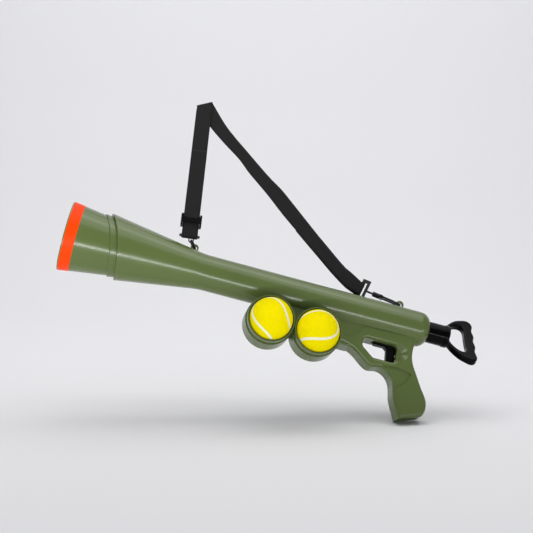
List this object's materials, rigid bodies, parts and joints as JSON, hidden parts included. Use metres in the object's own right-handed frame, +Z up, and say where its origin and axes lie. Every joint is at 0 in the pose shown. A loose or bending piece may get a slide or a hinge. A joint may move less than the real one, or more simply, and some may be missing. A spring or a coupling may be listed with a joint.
{
  "type": "dog ball launcher",
  "caption": "Hand-held spring-plunger launcher for dog balls, with a bell muzzle, ball cups, pistol grip, trigger, rear D-handle and shoulder strap.",
  "frame": {"origin": "centre of the muzzle rim's front plane, on the bore axis", "axes": "+X runs back along the bore from the muzzle to the D-handle, +Z is up with the grip hanging down, -Y is the side that carries the ball cups"},
  "size_m": [0.6485, 0.1372, 0.4366],
  "materials": {
    "shell": "olive green, semi-gloss",
    "band": "bright orange, satin",
    "cups": "olive green, semi-gloss",
    "ball": "yellow-green felt over rubber",
    "steel": "plain steel",
    "bumper": "black rubber",
    "piston": "dark nylon",
    "black_gloss": "black, glossy",
    "black_plastic": "black, satin",
    "black_steel": "blackened steel",
    "webbing": "black woven nylon"
  },
  "bodies": {
    "launcher": {"muzzle_tube": "shell", "muzzle_rim": "shell", "muzzle_band": "band", "body_left_shell": "shell", "body_right_shell": "shell", "ball_holder": "cups", "shell_screws": "steel", "cup_screws": "steel", "trigger_pin": "steel", "sear_pin": "steel", "stop_ring": "bumper", "spring_seat": "black_plastic", "rear_bush": "black_plastic", "main_spring": "steel", "trigger_spring": "steel", "front_ring": "black_steel", "front_swivel_loop": "black_steel", "strap": "webbing", "rear_swivel_loop": "black_steel", "rear_hook": "black_steel", "gate_pin": "steel"},
    "plunger_slide": {"spring_washer": "steel"},
    "plunger_spin": {"piston": "piston", "piston_pad": "bumper", "plunger_rod": "black_gloss", "piston_pin": "steel", "handle_pin": "steel", "d_handle": "black_gloss"},
    "trigger": {"trigger": "black_plastic", "sear_spring": "steel"},
    "sear": {"sear": "black_plastic"},
    "gate": {"rear_gate": "black_steel"},
    "slider": {"strap_slider": "black_plastic"},
    "ball_front": {"ball_front": "ball"},
    "ball_rear": {"ball_rear": "ball"}
  },
  "joints": [
    {"name": "plunger_draw", "type": "slide", "parent": "launcher", "child": "plunger_slide", "axis": [1, 0, 0], "range_m": [0, 0.115], "stiffness_N_per_m": 150, "deforming": ["main_spring"]},
    {"name": "plunger_turn", "type": "hinge", "parent": "plunger_slide", "child": "plunger_spin", "pos_m": [0.4, 0, 0], "axis": [1, 0, 0], "continuous": true},
    {"name": "trigger_pull", "type": "hinge", "parent": "launcher", "child": "trigger", "pos_m": [0.497, 0, -0.034], "axis": [0, -1, 0], "range_deg": [0, 10], "stiffness_Nm_per_rad": 0.5, "deforming": ["trigger_spring"]},
    {"name": "sear_turn", "type": "hinge", "parent": "launcher", "child": "sear", "pos_m": [0.52, 0, -0.025], "axis": [0, -1, 0], "range_deg": [0, 21], "deforming": ["sear_spring"]},
    {"name": "gate_swing", "type": "hinge", "parent": "launcher", "child": "gate", "pos_m": [0.49157, 0.00295, 0.03787], "axis": [0.2029, -0.17, 0.9643], "range_deg": [0, 18], "stiffness_Nm_per_rad": 0.02},
    {"name": "buckle_slide", "type": "slide", "parent": "launcher", "child": "slider", "axis": [-0.1236, 0, 0.9923], "range_m": [0, 0.08]},
    {"name": "front_ball_lift", "type": "slide", "parent": "launcher", "child": "ball_front", "axis": [0, -1, 0], "range_m": [0, 0.06]},
    {"name": "rear_ball_lift", "type": "slide", "parent": "launcher", "child": "ball_rear", "axis": [0, -1, 0], "range_m": [0, 0.06]}
  ],
  "couplings": [
    {"joint": "sear_turn", "follows": "trigger_pull", "ratio": 2.1}
  ]
}
